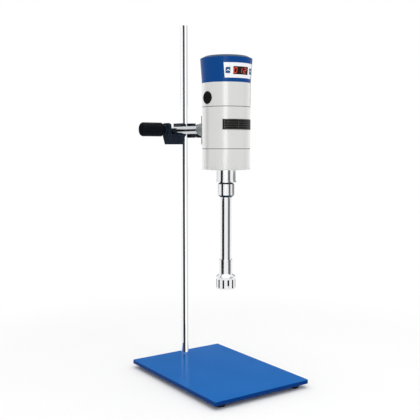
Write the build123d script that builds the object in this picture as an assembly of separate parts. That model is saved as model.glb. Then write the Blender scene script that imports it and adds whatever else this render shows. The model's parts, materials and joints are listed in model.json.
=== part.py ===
from build123d import *
from math import asin, degrees, radians, sin, sqrt, tan
import os

os.makedirs("parts", exist_ok=True)

# Rotor stator homogenizer on a bench stand, in millimetres, +Z up.
# The origin is under the middle of the base plate, on the surface that the feet stand on.
# +X runs along the plate from the rod to the motor's display, -Y is the side of the arm's clamp knob.

# clearances
fit_gap = 0.05          # a piece seated in another
run_gap = 0.08          # a shaft or a screw that turns in a bore
seat_gap = 0.3          # a curved face beside another that moves past it
slide_gap = 0.35        # a button in its opening
end_spare = 1.0         # a thread or a blind hole runs this far past what it meets
over = 1.0              # a cut runs this far past the face that it opens

# base
plate_length = 280.0
plate_width = 200.0
plate_thickness = 7.0
plate_corner = 2.0
plate_edge = 0.6
foot_height = 8.0
foot_radius = 8.0
foot_edge = 1.0
foot_end_inset = 15.5   # from the short edges
foot_side_inset = 20.0  # from the long edges
foot_recess_depth = 4.0
foot_screw_radius = 2.0
foot_screw_head = 3.8
foot_screw_head_height = 2.4
foot_screw_grip = 6.0

# stand rod
rod_radius = 7.0
rod_length = 640.0
rod_end_inset = 30.0    # from the rear short edge
rod_chamfer = 1.0
base_screw_radius = 4.0
base_screw_head = 6.5
base_screw_head_height = 3.5
base_screw_sunk = 0.2
base_screw_grip = 20.0
base_screw_key = 2.8    # its hexagon socket, across the corners, halved

# arm
arm_height = 440.5      # the arm's axis above the plate
arm_offset = 28.0       # the arm's axis beside the rod's axis
arm_radius = 7.0
arm_tail = 28.0         # behind the rod
arm_grip = 24.0         # inside the boss
boss_radius = 11.0
boss_length = 33.0
boss_spigot_radius = 8.0
boss_spigot_length = 3.0
boss_edge = 0.8
set_screw_radius = 2.5
set_screw_sunk = 0.4

# bosshead
clamp_half_width = 12.0
clamp_rise = 14.2       # from the arm's axis to the top of the hooks
clamp_drop = 26.0       # from the arm's axis to the bottom of the arm's hook
arm_leg = 5.9
clamp_web = 8.9         # thickness between the two hooks at the top
clamp_flank = 18.5      # height of the slanted flanks under the arm's hook
near_flank_run = 5.2
far_flank_run = 12.0
clamp_round = 5.5       # the arm's hook, rounded at its top
arm_slot_spare = 1.0
slot_lead = 1.0         # the slot's far wall leans back from here up
hook_corner = 2.2
rod_leg = 10.0
rod_leg_drop = 13.1     # from the arm's axis to the bottom of the rod's hook
rod_slot_spare = 3.0
rod_bridge = 12.0
rod_bridge_gap = 1.3
jaw_half_angle = 60.0
jaw_flat = 4.1          # how far the jaw's face stays behind the rod's nearest side
thread_boss_radius = 9.0
thread_boss_length = 4.5

# clamp knobs
clamp_screw_radius = 4.0
clamp_screw_grip = 22.0
clamp_screw_point = 1.0
arm_screw_rise = 1.8    # above the arm's axis, so that it presses the arm down into its hook
knob_radius = 13.05
knob_length = 46.6
knob_neck_radius = 8.6
knob_neck_length = 5.0
knob_round = 3.6
knob_gap = 1.5
flute_count = 8
flute_radius = 2.4
flute_depth = 0.7

# motor body
motor_reach = 177.5     # the motor's axis ahead of the rod's axis
body_radius = 41.0
body_wall = 4.0
arm_above_body_bottom = 69.2
lower_length = 35.9
middle_length = 69.8
upper_length = 39.0
body_bottom_round = 1.6
floor_thickness = 5.0
seam_height = 0.9
seam_depth = 0.8
seam_seal_sunk = 0.15   # the seals lie this far inside the housing's face
spigot_wall = 1.6
spigot_length = 3.5
cap_spigot_length = 6.0
ledge_width = 3.0
ledge_height = 5.0
vent_count = 8
vent_width = 3.2
vent_inner_radius = 26.0
vent_outer_radius = 32.0

# rear bracket
bracket_width = 43.0
bracket_height = 49.0
bracket_thickness = 4.0
bracket_drop = 2.0      # its middle below the arm's axis
bracket_edge = 0.8
bracket_screw_radius = 2.5
bracket_screw_head = 4.2
bracket_screw_head_height = 3.0
bracket_screw_inset = 7.0
bracket_screw_grip = 3.0

# top cap
cap_flare_length = 40.7
cap_top_radius = 44.0
cap_shoulder_run = 8.0
cap_shoulder_rise = 3.9
cap_crown_radius = 26.0
cap_crown_rise = 0.9
cap_dome = 0.5
cap_wall = 2.5
cap_ceiling_drop = 1.5  # the inside's top below the rim
cap_vent_count = 5
cap_vent_width = 2.6
cap_vent_height = 18.0
cap_vent_pitch = 9.0    # degrees
cap_screw_angle = 30.0  # either side of the back
cap_screw_radius = 1.5
cap_screw_head = 2.5
cap_screw_head_height = 1.6

# control panel
panel_bottom = 6.4      # above the cap's lower edge
panel_height = 24.4
panel_bottom_width = 52.4
panel_top_width = 57.6
panel_thickness = 1.2
panel_proud = 0.4
window_bottom = 5.6     # above the panel's lower edge
window_height = 12.8
window_width = 28.6
window_proud = 0.15
window_thickness = 2.4
button_bottom = 7.5
button_height = 9.0
button_width = 5.8
button_offset = 22.6    # from the panel's middle, across the head
button_proud = 0.6
button_flange = 0.7     # how far the flange reaches past the key
button_flange_thickness = 1.0
button_flange_gap = 0.1
button_travel = 0.5
button_stem = 3.0
board_thickness = 1.6
display_board_depth = 25.5
display_board_width = 50.0
display_board_height = 21.0
display_width = 27.0
display_height = 12.0
display_depth = 8.0
switch_width = 4.4
switch_height = 3.0

# nameplate
plate_label_height = 17.1
plate_label_rise = 6.5  # the label's middle above the arm's axis
plate_label_half_angle = 43.9
plate_label_thickness = 0.6

# brushes
brush_height = 14.1     # the brush axis above the upper housing's lower edge
brush_turn = 4.0        # degrees from the Y axis towards the display
brush_cap_radius = 10.35
brush_cap_thickness = 2.8
brush_spotface = 2.0
brush_slot_width = 1.6
brush_slot_depth = 1.0
brush_slot_length = 12.4
brush_cap_edge = 0.5
brush_neck_radius = 3.0
brush_neck_length = 3.5
holder_radius = 6.5
holder_length = 22.0
brush_boss_radius = 9.0
brush_boss_length = 9.0
brush_width = 6.0
brush_thickness = 8.0
brush_length = 13.5
spring_wire = 0.5
spring_turns = 4

# cable gland
gland_height = 11.5     # above the upper housing's lower edge
gland_radius = 7.0
gland_flange_radius = 9.5
gland_flange_length = 9.0
gland_nut_thickness = 3.0
gland_bore = 3.5
gland_spotface = 0.8

# motor
shaft_radius = 4.0
bearing_radius = 11.0
bearing_width = 7.0
bearing_plate_thickness = 9.0
bearing_shoulder = 1.5
bearing_wall = 4.0
bearing_web = 4.0       # the bearing plate's thickness between its wall and the bearing's
shaft_passage = 7.0
air_windows = 4
air_window_inner = 18.0
air_window_outer = 30.0
air_window_width = 10.0
brush_clearance = 1.0   # between the brush bosses and the upper bearing plate
shaft_end = 1.0         # past the upper bearing
seal_radius = 8.0
seal_width = 3.0
armature_radius = 19.0
air_gap = 0.5
stack_length = 44.0
core_ring = 6.0
pole_width = 30.0
coil_depth = 6.5
coil_width = 7.0
coil_overhang = 6.0
armature_slots = 12
armature_slot_width = 3.0
armature_slot_depth = 7.0
winding_radius = 17.0
winding_length = 6.0
winding_round = 2.4
winding_gap = 1.5       # between the end turns and the fan
commutator_radius = 12.0
commutator_length = 18.0
commutator_groove = 0.7
commutator_groove_depth = 1.0
riser_height = 1.5      # past the commutator's radius
riser_length = 2.0
fan_radius = 30.0
fan_hub_radius = 8.0
fan_height = 7.0
fan_disc = 1.5
fan_blades = 10
fan_blade_thickness = 1.6
fan_blade_inner = 13.0
fan_blade_outer = 29.5
fan_lift = 1.5
standoffs = 4
standoff_radius = 3.0
standoff_length = 7.0
standoff_circle = 24.0
speed_board_radius = 29.0
heat_sink_width = 24.0
heat_sink_thickness = 8.0
heat_sink_height = 14.0
heat_sink_back = 8.0    # behind the motor's axis
heat_sink_base = 3.0
heat_sink_fins = 6
heat_sink_gap = 2.0
capacitor_radius = 6.0
capacitor_height = 15.0
capacitor_place = 8.0   # from the motor's axis, along and across

# spindle nose and coupling
nose_radius = 16.2
nose_length = 18.9
nose_lip_radius = 17.25
nose_lip_length = 2.4
nose_neck_radius = 14.0
nose_neck_length = 13.0
nose_bore = 9.5
nose_nut_radius = 22.0
nose_nut_height = 5.0
coupling_radius = 8.0
coupling_length = 22.0
coupling_socket = 11.0
coupling_rise = 15.0    # its lower end above the nose's lower end
tang_width = 5.0
tang_length = 9.5
tang_shoulder = 1.0     # the shaft's round part ends this far below the coupling

# dispersing tool
lock_gap = 0.2
lock_radius = 14.1
lock_length = 25.4
lock_top_run = 3.6
lock_top_rise = 3.0
lock_bottom_run = 3.6
lock_bottom_rise = 3.6
shank_radius = 10.0
shank_length = 13.2
tube_radius = 9.5
tube_wall = 1.5
tube_length = 107.3
tube_grip_top = 12.6
tube_grip_bottom = 18.6
sleeve_radius = 11.35
sleeve_length = 25.2
cone_length = 3.4
stator_radius = 16.5
stator_wall = 3.3
stator_length = 22.2
stator_slots = 12
stator_slot_turn = 9.4  # degrees from +X to the first slot
stator_slot_width = 3.0
stator_slot_length = 16.8
rotor_gap = 0.5
rotor_wall = 2.6
rotor_teeth = 8
rotor_tooth_gap = 4.2
rotor_crown = 3.0
rotor_hub_radius = 6.5
rotor_hub_length = 14.0
rotor_recess = 1.2      # its lower end above the stator's lower end
rotor_headroom = 1.5
bush_radius = 7.0
bush_length = 10.0
upper_bush_rise = 1.0   # its lower end above the nose's lower end

# places that follow from the sizes
plate_top = foot_height + plate_thickness
rod_x = rod_end_inset - plate_length / 2
rod_y = 0.0
arm_y = rod_y - arm_offset
arm_z = plate_top + arm_height
motor_x = rod_x + motor_reach
motor_y = arm_y
lower_z = arm_z - arm_above_body_bottom
middle_z = lower_z + lower_length
upper_z = middle_z + middle_length
cap_z = upper_z + upper_length
shoulder_z = cap_z + cap_flare_length
bore_radius = body_radius - body_wall
ledge_radius = bore_radius - ledge_width
bracket_back = body_radius + bracket_thickness
boss_start = motor_x - bracket_back - boss_length
panel_z = cap_z + panel_bottom
window_z = panel_z + window_bottom
button_z = panel_z + button_bottom
brush_z = upper_z + brush_height
gland_z = upper_z + gland_height
brush_seat = body_radius - brush_spotface
fan_z = middle_z + fan_lift
stack_z = fan_z + fan_height + winding_gap + winding_length
lower_plate_z = middle_z - spigot_length - bearing_plate_thickness
lower_bearing_z = lower_plate_z + bearing_shoulder
upper_plate_z = brush_z + brush_boss_radius + brush_clearance
upper_bearing_z = upper_plate_z + bearing_shoulder
nose_z = lower_z - nose_length - nose_lip_length
coupling_z = nose_z + coupling_rise
lock_z = nose_z - lock_gap
lock_bottom = lock_z - lock_length
tube_bottom = lock_bottom - tube_length
cone_z = tube_bottom - sleeve_length
stator_z = cone_z - cone_length - stator_length
bush_seat_z = tube_bottom - tube_grip_bottom
rotor_z = stator_z + rotor_recess
rotor_top = cone_z - cone_length - rotor_headroom
speed_board_z = upper_plate_z + bearing_plate_thickness + standoff_length

on_base = (Align.CENTER, Align.CENTER, Align.MIN)


def disc(radius, low, high, x=0.0, y=0.0):
    return Pos(x, y, low) * Cylinder(radius, high - low, align=on_base)


def pipe(outer, inner, low, high):
    return disc(outer, low, high) - disc(inner, low - over, high + over)


def bar_x(radius, start, end, y=0.0, z=0.0):
    return Pos(start, y, z) * Rot(0, 90, 0) * Cylinder(radius, end - start, align=on_base)


def bar_y(radius, start, end, x=0.0, z=0.0):
    return Pos(x, start, z) * Rot(-90, 0, 0) * Cylinder(radius, end - start, align=on_base)


def block(x_low, x_high, y_low, y_high, z_low, z_high):
    middle = Pos((x_low + x_high) / 2, (y_low + y_high) / 2, (z_low + z_high) / 2)
    return middle * Box(x_high - x_low, y_high - y_low, z_high - z_low)


def turned(*corners, arc=360.0):
    """A solid turned about Z from (radius, height) corners."""
    outline = Polyline(*[(radius, 0, height) for radius, height in corners], close=True)
    return revolve(make_face(outline), Axis.Z, revolution_arc=arc)


def around(shape, count, start=0.0, span=360.0):
    """Copies of a shape round Z, evenly spread."""
    return [Rot(0, 0, start + span * step / count) * shape for step in range(count)]


def sector(low_radius, high_radius, thickness, low, high, half_angle):
    """A curved sheet on a cone about Z, centred on +X."""
    sheet = turned((low_radius - thickness, low), (low_radius, low), (high_radius, high),
                   (high_radius - thickness, high), arc=2 * half_angle)
    return Rot(0, 0, -half_angle) * sheet


def cap_radius(height):
    """The cap's outer radius at a height."""
    return body_radius + (cap_top_radius - body_radius) * (height - cap_z) / cap_flare_length


def cap_sheet(low, high, proud, thickness, half_angle=90.0):
    """A curved sheet that follows the cap's wall, at its front."""
    return sector(cap_radius(low) + proud, cap_radius(high) + proud, thickness, low, high, half_angle)


def on_motor(shape):
    return Pos(motor_x, motor_y, 0) * shape


# base and rod
def foot_places():
    x = plate_length / 2 - foot_end_inset
    y = plate_width / 2 - foot_side_inset
    return [(sx * x, sy * y) for sx in (-1, 1) for sy in (-1, 1)]


def base_plate():
    plate = block(-plate_length / 2, plate_length / 2, -plate_width / 2, plate_width / 2,
                  foot_height, plate_top)
    plate = fillet(plate.edges().filter_by(Axis.Z), plate_corner)
    plate = chamfer(plate.faces().sort_by(Axis.Z)[-1].edges(), plate_edge)
    for x, y in foot_places():
        plate -= disc(foot_screw_radius + fit_gap, foot_height, foot_height + foot_screw_grip, x, y)
    screw_seat = foot_height + base_screw_sunk + base_screw_head_height
    plate -= disc(base_screw_radius + run_gap, foot_height, plate_top, rod_x, rod_y)
    return plate - disc(base_screw_head + seat_gap, foot_height, screw_seat, rod_x, rod_y)


def rubber_feet():
    foot = turned((foot_radius - foot_edge, 0), (foot_radius, foot_edge), (foot_radius, foot_height),
                  (0, foot_height), (0, 0))
    foot -= disc(foot_screw_head + fit_gap, 0, foot_recess_depth)
    foot -= disc(foot_screw_radius + fit_gap, 0, foot_height)
    return Compound([Pos(x, y, 0) * foot for x, y in foot_places()])


def foot_screws():
    screw = disc(foot_screw_head, foot_recess_depth - foot_screw_head_height, foot_recess_depth)
    screw += disc(foot_screw_radius, foot_recess_depth, foot_height + foot_screw_grip)
    return Compound([Pos(x, y, 0) * screw for x, y in foot_places()])


def stand_rod():
    rod = disc(rod_radius, plate_top, plate_top + rod_length)
    rod = chamfer(rod.faces().sort_by(Axis.Z)[-1].edges(), rod_chamfer)
    rod -= disc(base_screw_radius + fit_gap, plate_top, plate_top + base_screw_grip + end_spare)
    return Pos(rod_x, rod_y, 0) * rod


def rod_base_screw():
    low = foot_height + base_screw_sunk
    screw = disc(base_screw_head, low, low + base_screw_head_height)
    screw += disc(base_screw_radius, low + base_screw_head_height, plate_top + base_screw_grip)
    key = extrude(Pos(0, 0, low) * RegularPolygon(base_screw_key, 6), base_screw_head_height / 2)
    return Pos(rod_x, rod_y, 0) * (screw - key)


# bosshead: a hook that opens upwards for the arm and one that opens forwards for the rod
def clamp_faces():
    """Places across the bosshead from the rod's axis: arm leg, arm slot, web and rod leg."""
    slot_near = -arm_offset - arm_radius - seat_gap - arm_slot_spare / 2
    slot_far = -arm_offset + arm_radius + seat_gap
    web_far = -rod_radius + jaw_flat
    leg_near = rod_radius + rod_slot_spare
    return slot_near - arm_leg, slot_near, slot_far, web_far, leg_near, leg_near + rod_leg


def bosshead():
    near, slot_near, slot_far, web_far, leg_near, far = clamp_faces()
    top = arm_z + clamp_rise
    bottom = arm_z - clamp_drop
    slot_floor = arm_z - arm_radius - seat_gap
    web_near = web_far - clamp_web
    outline = Polyline(
        (near + near_flank_run, bottom), (web_far - far_flank_run, bottom), (web_far, bottom + clamp_flank),
        (web_far, top), (web_near, top), (slot_far, arm_z + slot_lead), (slot_far, slot_floor),
        (slot_near, slot_floor), (slot_near, top - hook_corner), (slot_near - hook_corner, top),
        (near + hook_corner / 2, top), (near, top - hook_corner / 2), (near, bottom + clamp_flank),
        close=True)
    arm_hook = extrude(Plane.YZ * make_face(outline), clamp_half_width, both=True)
    front = Pos(0, (top + bottom) / 2) * Rectangle(2 * clamp_half_width, top - bottom)
    front = fillet(front.vertices().group_by(Axis.Y)[-1], clamp_round)
    arm_hook &= extrude(Plane.XZ * front, far - near, both=True)
    low = arm_z - rod_leg_drop
    bridge_front = -rod_radius - rod_bridge_gap
    bridge_back = bridge_front - rod_bridge
    leg = block(bridge_back, clamp_half_width, leg_near, far, low, top)
    leg = chamfer(leg.edges().filter_by(Axis.Z).sort_by(Axis.X)[-2:], hook_corner)
    leg = chamfer(leg.edges().filter_by(Axis.Y).sort_by(Axis.X)[-2:], hook_corner)
    bridge = block(bridge_back, bridge_front, web_near, far, low, top)
    jaw_tip = (rod_radius + seat_gap) / sin(radians(jaw_half_angle))
    jaw_run = (jaw_tip + web_far) * tan(radians(jaw_half_angle))
    jaw = make_face(Polyline((0, -jaw_tip), (jaw_run, web_far), (-jaw_run, web_far), close=True))
    body = arm_hook + leg + bridge
    body -= Pos(0, 0, bottom - over) * extrude(jaw, clamp_rise + clamp_drop + 2 * over)
    screw_z = arm_z + arm_screw_rise
    near_face = near - thread_boss_length
    far_face = far + thread_boss_length
    body += bar_y(thread_boss_radius, near_face, near, 0, screw_z)
    body += bar_y(thread_boss_radius, far, far_face, 0, arm_z)
    body -= bar_y(clamp_screw_radius + run_gap, near_face - over, slot_near + over, 0, screw_z)
    body -= bar_y(clamp_screw_radius + run_gap, leg_near - over, far_face + over, 0, arm_z)
    return Pos(rod_x, rod_y, 0) * body


def clamp_screw(tip, knob_face):
    """A screw along +Y whose tip faces the origin side, and which the knob's bore holds."""
    screw = bar_y(clamp_screw_radius, tip, knob_face + clamp_screw_grip)
    return chamfer(screw.edges().sort_by(Axis.Y)[0], clamp_screw_point)


def clamp_knob(knob_face):
    """A fluted knob along +Y from its neck's face."""
    end = knob_length
    knob = turned((0, 0), (knob_neck_radius, 0), (knob_radius, knob_neck_length),
                  (knob_radius, end - knob_round), (knob_radius - knob_round / 3, end - knob_round / 3),
                  (knob_radius - knob_round, end), (0, end))
    flute = disc(flute_radius, knob_neck_length, end, knob_radius + flute_radius - flute_depth)
    for cut in around(flute, flute_count):
        knob -= cut
    knob -= disc(clamp_screw_radius + run_gap, 0, clamp_screw_grip + seat_gap)
    return Pos(0, knob_face, 0) * Rot(-90, 0, 0) * knob


def arm_side(shape):
    """Turns a clamp part from +Y to -Y, at the arm screw's height."""
    return Pos(rod_x, rod_y, arm_z + arm_screw_rise) * Rot(0, 0, 180) * shape


def rod_side(shape):
    return Pos(rod_x, rod_y, arm_z) * shape


def arm_clamp():
    knob_face = -clamp_faces()[0] + thread_boss_length + knob_gap
    tip = arm_offset + arm_radius + seat_gap
    return arm_side(clamp_screw(tip, knob_face)), arm_side(clamp_knob(knob_face))


def rod_clamp():
    knob_face = clamp_faces()[5] + thread_boss_length + knob_gap
    tip = rod_radius + seat_gap
    return rod_side(clamp_screw(tip, knob_face)), rod_side(clamp_knob(knob_face))


# arm, boss and bracket
def support_arm():
    arm = bar_x(arm_radius, rod_x - arm_tail, boss_start + arm_grip, arm_y, arm_z)
    return chamfer(arm.edges().filter_by(GeomType.CIRCLE), rod_chamfer)


def arm_boss():
    end = boss_start + boss_length
    boss = bar_x(boss_radius, boss_start, end)
    boss = chamfer(boss.edges().filter_by(GeomType.CIRCLE).sort_by(Axis.X)[0], boss_edge)
    boss += bar_x(boss_spigot_radius, end, end + boss_spigot_length)
    boss -= bar_x(arm_radius + run_gap, boss_start - over, boss_start + arm_grip + end_spare)
    boss -= bar_y(set_screw_radius + fit_gap, 0, boss_radius, boss_start + arm_grip / 2)
    return Pos(0, arm_y, arm_z) * boss


def boss_set_screw():
    end = boss_radius - set_screw_sunk
    screw = bar_y(set_screw_radius, arm_radius + seat_gap, end, boss_start + arm_grip / 2)
    return Pos(0, arm_y, arm_z) * screw


def bracket_screw_places():
    y = bracket_width / 2 - bracket_screw_inset
    z = bracket_height / 2 - bracket_screw_inset
    return [(sy * y, arm_z - bracket_drop + sz * z) for sy in (-1, 1) for sz in (-1, 1)]


def rear_bracket():
    half = bracket_width / 2
    wing = sqrt(body_radius ** 2 - half ** 2)
    low = arm_z - bracket_drop - bracket_height / 2
    saddle = block(-bracket_back, -wing, -half, half, low, low + bracket_height)
    saddle = chamfer(saddle.faces().sort_by(Axis.X)[0].edges(), bracket_edge)
    saddle -= disc(body_radius, low - over, low + bracket_height + over)
    socket_end = boss_spigot_length + fit_gap - bracket_back
    saddle -= bar_x(boss_spigot_radius + fit_gap, -bracket_back, socket_end, 0, arm_z)
    for y, z in bracket_screw_places():
        saddle -= bar_x(bracket_screw_radius + fit_gap, -bracket_back, 0, y, z)
    return on_motor(saddle)


def bracket_screws():
    screws = []
    for y, z in bracket_screw_places():
        head = bar_x(bracket_screw_head, -bracket_back - bracket_screw_head_height, -bracket_back, y, z)
        depth = sqrt(body_radius ** 2 - y ** 2) - bracket_screw_grip
        screws.append(on_motor(head + bar_x(bracket_screw_radius, -bracket_back, -depth, y, z)))
    return Compound(screws)


# motor housing
def shell(low, high, with_spigot, with_rebate):
    """A length of housing tube, with a seam groove at its top, a spigot below and a rebate above."""
    tube = pipe(body_radius, bore_radius, low, high)
    spigot_radius = bore_radius + spigot_wall
    if with_spigot:
        tube += pipe(spigot_radius - fit_gap, bore_radius, low - spigot_length, low)
    if with_rebate:
        tube -= disc(spigot_radius, high - spigot_length - fit_gap, high)
        tube -= pipe(body_radius + over, body_radius - seam_depth, high - seam_height, high)
    return tube


def lower_housing():
    body = shell(lower_z, middle_z, False, True)
    body = fillet(body.edges().filter_by(GeomType.CIRCLE).group_by(Axis.Z)[0].sort_by(SortBy.RADIUS)[-1],
                  body_bottom_round)
    body += disc(bore_radius, lower_z, lower_z + floor_thickness)
    body += pipe(bore_radius, ledge_radius, lower_plate_z - ledge_height, lower_plate_z)
    body -= disc(nose_neck_radius + fit_gap, lower_z, lower_z + floor_thickness)
    vent = block(vent_inner_radius, vent_outer_radius, -vent_width / 2, vent_width / 2,
                 lower_z - over, lower_z + floor_thickness + over)
    for cut in around(vent, vent_count, 180.0 / vent_count):
        body -= cut
    return on_motor(body)


def middle_housing():
    body = shell(middle_z, upper_z, True, True)
    body += pipe(bore_radius, ledge_radius, stack_z - ledge_height, stack_z)
    for y, z in bracket_screw_places():
        body -= bar_x(bracket_screw_radius + fit_gap, -body_radius, -bore_radius / 2, y, z)
    return on_motor(body)


def upper_housing():
    body = shell(upper_z, cap_z, True, False)
    body -= disc(bore_radius + spigot_wall, cap_z - cap_spigot_length - fit_gap, cap_z)
    body += pipe(bore_radius, ledge_radius, upper_plate_z - ledge_height / 2, upper_plate_z)
    inner = brush_seat - brush_boss_length
    boss = bar_y(brush_boss_radius, inner, brush_seat, 0, brush_z)
    opening = bar_y(brush_cap_radius + seat_gap, brush_seat, body_radius + over, 0, brush_z)
    opening += bar_y(holder_radius + fit_gap, inner - over, brush_seat, 0, brush_z)
    for turn in (brush_turn, brush_turn + 180):
        body += Rot(0, 0, turn) * boss
        body -= Rot(0, 0, turn) * opening
    gland_seat = body_radius - gland_spotface
    body -= bar_x(gland_flange_radius + seat_gap, -body_radius - over, -gland_seat, 0, gland_z)
    body -= bar_x(gland_radius + fit_gap, -body_radius, -ledge_radius, 0, gland_z)
    hole = bar_x(cap_screw_radius + fit_gap, bore_radius, body_radius, 0, cap_screw_z())
    for turn in cap_screw_turns():
        body -= Rot(0, 0, turn) * hole
    return on_motor(body)


def seam_seals():
    """The rings that close the seams between the lengths of the housing."""
    outer = body_radius - seam_seal_sunk
    inner = body_radius - seam_depth
    return Compound([on_motor(pipe(outer, inner, seam - seam_height, seam)) for seam in (middle_z, upper_z)])


def cap_screw_z():
    return cap_z - cap_spigot_length / 2


def cap_screw_turns():
    return 180 - cap_screw_angle, 180 + cap_screw_angle


def cap_screws():
    screw = bar_x(cap_screw_radius, bore_radius, body_radius)
    head = bar_x(cap_screw_head, body_radius, body_radius + cap_screw_head_height)
    placed = Pos(0, 0, cap_screw_z()) * (screw + head)
    return Compound([on_motor(Rot(0, 0, turn) * placed) for turn in cap_screw_turns()])


def button_opening(side, gap):
    y = side * button_offset
    half = button_width / 2 + gap
    return block(display_board_depth + board_thickness, cap_top_radius + over, y - half, y + half,
                 button_z - gap, button_z + button_height + gap)


def panel_sheet(proud, thickness):
    """A curved sheet of the panel's outline, which is wider at its top, on the cap's wall."""
    top = panel_z + panel_height
    sheet = cap_sheet(panel_z, top, proud, thickness)
    low_y = panel_bottom_width / 2
    top_y = panel_top_width / 2
    outline = Polyline((-low_y, panel_z), (low_y, panel_z), (top_y, top), (-top_y, top), close=True)
    return sheet & extrude(Plane.YZ * make_face(outline), 2 * cap_top_radius)


def window_half_angle():
    return degrees(asin(window_width / 2 / cap_radius(window_z)))


def top_cap():
    top = shoulder_z + cap_shoulder_rise
    outer = turned((0, cap_z), (body_radius, cap_z), (cap_top_radius, shoulder_z),
                   (cap_top_radius - cap_shoulder_run, top), (cap_crown_radius, top + cap_crown_rise),
                   (0, top + cap_crown_rise + cap_dome))
    ceiling = shoulder_z - cap_ceiling_drop
    inner = turned((0, cap_z), (bore_radius, cap_z), (cap_top_radius - cap_wall, ceiling), (0, ceiling))
    cap = outer - inner
    spigot_radius = bore_radius + spigot_wall - fit_gap
    cap += pipe(spigot_radius, bore_radius, cap_z - cap_spigot_length, cap_z)
    cap -= panel_sheet(panel_proud, panel_thickness)
    cap -= cap_sheet(window_z, window_z + window_height, over, 2 * body_wall, window_half_angle())
    for side in (-1, 1):
        cap -= button_opening(side, slide_gap + button_flange)
    slot = block(-cap_top_radius - over, -body_radius / 2, -cap_vent_width / 2, cap_vent_width / 2,
                 panel_z, panel_z + cap_vent_height)
    for step in range(cap_vent_count):
        cap -= Rot(0, 0, (step - (cap_vent_count - 1) / 2) * cap_vent_pitch) * slot
    hole = bar_x(cap_screw_radius + fit_gap, bore_radius - over, body_radius, 0, cap_screw_z())
    for turn in cap_screw_turns():
        cap -= Rot(0, 0, turn) * hole
    return on_motor(cap)


def control_panel():
    panel = panel_sheet(panel_proud, panel_thickness)
    panel -= cap_sheet(window_z, window_z + window_height, over, 2 * body_wall, window_half_angle())
    for side in (-1, 1):
        panel -= button_opening(side, slide_gap)
    return on_motor(panel)


def display_window():
    proud = panel_proud + window_proud
    edge = fit_gap
    angle = window_half_angle() - degrees(edge / body_radius)
    pane = cap_sheet(window_z + edge, window_z + window_height - edge, proud, window_thickness, angle)
    return on_motor(pane)


def push_button(side):
    """A key in the panel, a flange that holds it from behind, and a stem over its switch."""
    top = panel_z + panel_height
    flange_proud = panel_proud - panel_thickness - button_flange_gap
    flange_sheet = cap_sheet(panel_z, top, flange_proud, button_flange_thickness)
    key_sheet = cap_sheet(panel_z, top, panel_proud + button_proud,
                          panel_thickness + button_proud + button_flange_thickness)
    key = button_opening(side, 0) & key_sheet
    flange = button_opening(side, button_flange) & flange_sheet
    y = side * button_offset
    middle = button_z + button_height / 2
    half = button_stem / 2
    stem = block(switch_face() + button_travel + fit_gap, cap_top_radius, y - half, y + half,
                 middle - half, middle + half)
    stem &= cap_sheet(panel_z, top, 0, body_radius / 2)
    return on_motor(key + flange + stem)


def switch_face():
    return display_board_depth + board_thickness + switch_height


def display_board():
    depth = display_board_depth
    half = display_board_width / 2
    low = speed_board_z + board_thickness
    board = block(depth, depth + board_thickness, -half, half, low, low + display_board_height)
    for side in (-1, 1):
        y = side * button_offset
        middle = button_z + button_height / 2
        reach = switch_width / 2
        board += block(depth, switch_face(), y - reach, y + reach, middle - reach, middle + reach)
    return on_motor(board)


def display_module():
    back = display_board_depth + board_thickness
    half = display_width / 2
    middle = window_z + window_height / 2
    return on_motor(block(back, back + display_depth, -half, half, middle - display_height / 2,
                          middle + display_height / 2))


def speed_board():
    low = speed_board_z
    board = disc(speed_board_radius, low, low + board_thickness)
    on_top = low + board_thickness
    top = on_top + heat_sink_height
    back = -heat_sink_back - heat_sink_thickness
    half = heat_sink_width / 2
    sink = block(back, -heat_sink_back, -half, half, on_top, top)
    reach = heat_sink_gap / 2
    gap = block(back - over, -heat_sink_back - heat_sink_base, -reach, reach, on_top, top + over)
    for step in range(1, heat_sink_fins):
        sink -= Pos(0, step * heat_sink_width / heat_sink_fins - half, 0) * gap
    capacitor = disc(capacitor_radius, on_top, on_top + capacitor_height, capacitor_place, capacitor_place)
    return on_motor(board + sink + capacitor)


def nameplate():
    middle = arm_z + plate_label_rise
    radius = body_radius + fit_gap + plate_label_thickness
    return on_motor(sector(radius, radius, plate_label_thickness, middle - plate_label_height / 2,
                           middle + plate_label_height / 2, plate_label_half_angle))


# brush gear, on both sides of the motor
def both_sides(shape):
    turns = (brush_turn, brush_turn + 180)
    return Compound([on_motor(Pos(0, 0, brush_z) * Rot(0, 0, turn) * shape) for turn in turns])


def brush_caps():
    cap = bar_y(brush_cap_radius, brush_seat, brush_seat + brush_cap_thickness)
    cap = chamfer(cap.edges().sort_by(Axis.Y)[-1], brush_cap_edge)
    outer = brush_seat + brush_cap_thickness
    half = brush_slot_length / 2
    rise = brush_slot_width / 2
    cap -= block(-half, half, outer - brush_slot_depth, outer + over, -rise, rise)
    return both_sides(cap + bar_y(brush_neck_radius, brush_seat - brush_neck_length, brush_seat))


def brush_holders():
    holder = bar_y(holder_radius, brush_seat - holder_length, brush_seat)
    half_width = brush_width / 2 + fit_gap
    half_height = brush_thickness / 2 + fit_gap
    holder -= block(-half_width, half_width, 0, brush_seat + over, -half_height, half_height)
    return both_sides(holder)


def brush_start():
    return commutator_radius + seat_gap


def brushes():
    half_width = brush_width / 2
    half_height = brush_thickness / 2
    brush = block(-half_width, half_width, brush_start(), brush_start() + brush_length, -half_height,
                  half_height)
    return both_sides(brush)


def brush_springs():
    start = brush_start() + brush_length + spring_wire
    end = brush_seat - brush_neck_length - spring_wire
    radius = brush_neck_radius - spring_wire
    path = Helix(pitch=(end - start) / spring_turns, height=end - start, radius=radius)
    wire_face = Plane(path @ 0, z_dir=path % 0) * Rectangle(spring_wire, spring_wire)
    coil = sweep(wire_face, path, is_frenet=True)
    return both_sides(Pos(0, start, 0) * Rot(-90, 0, 0) * coil)


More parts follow.
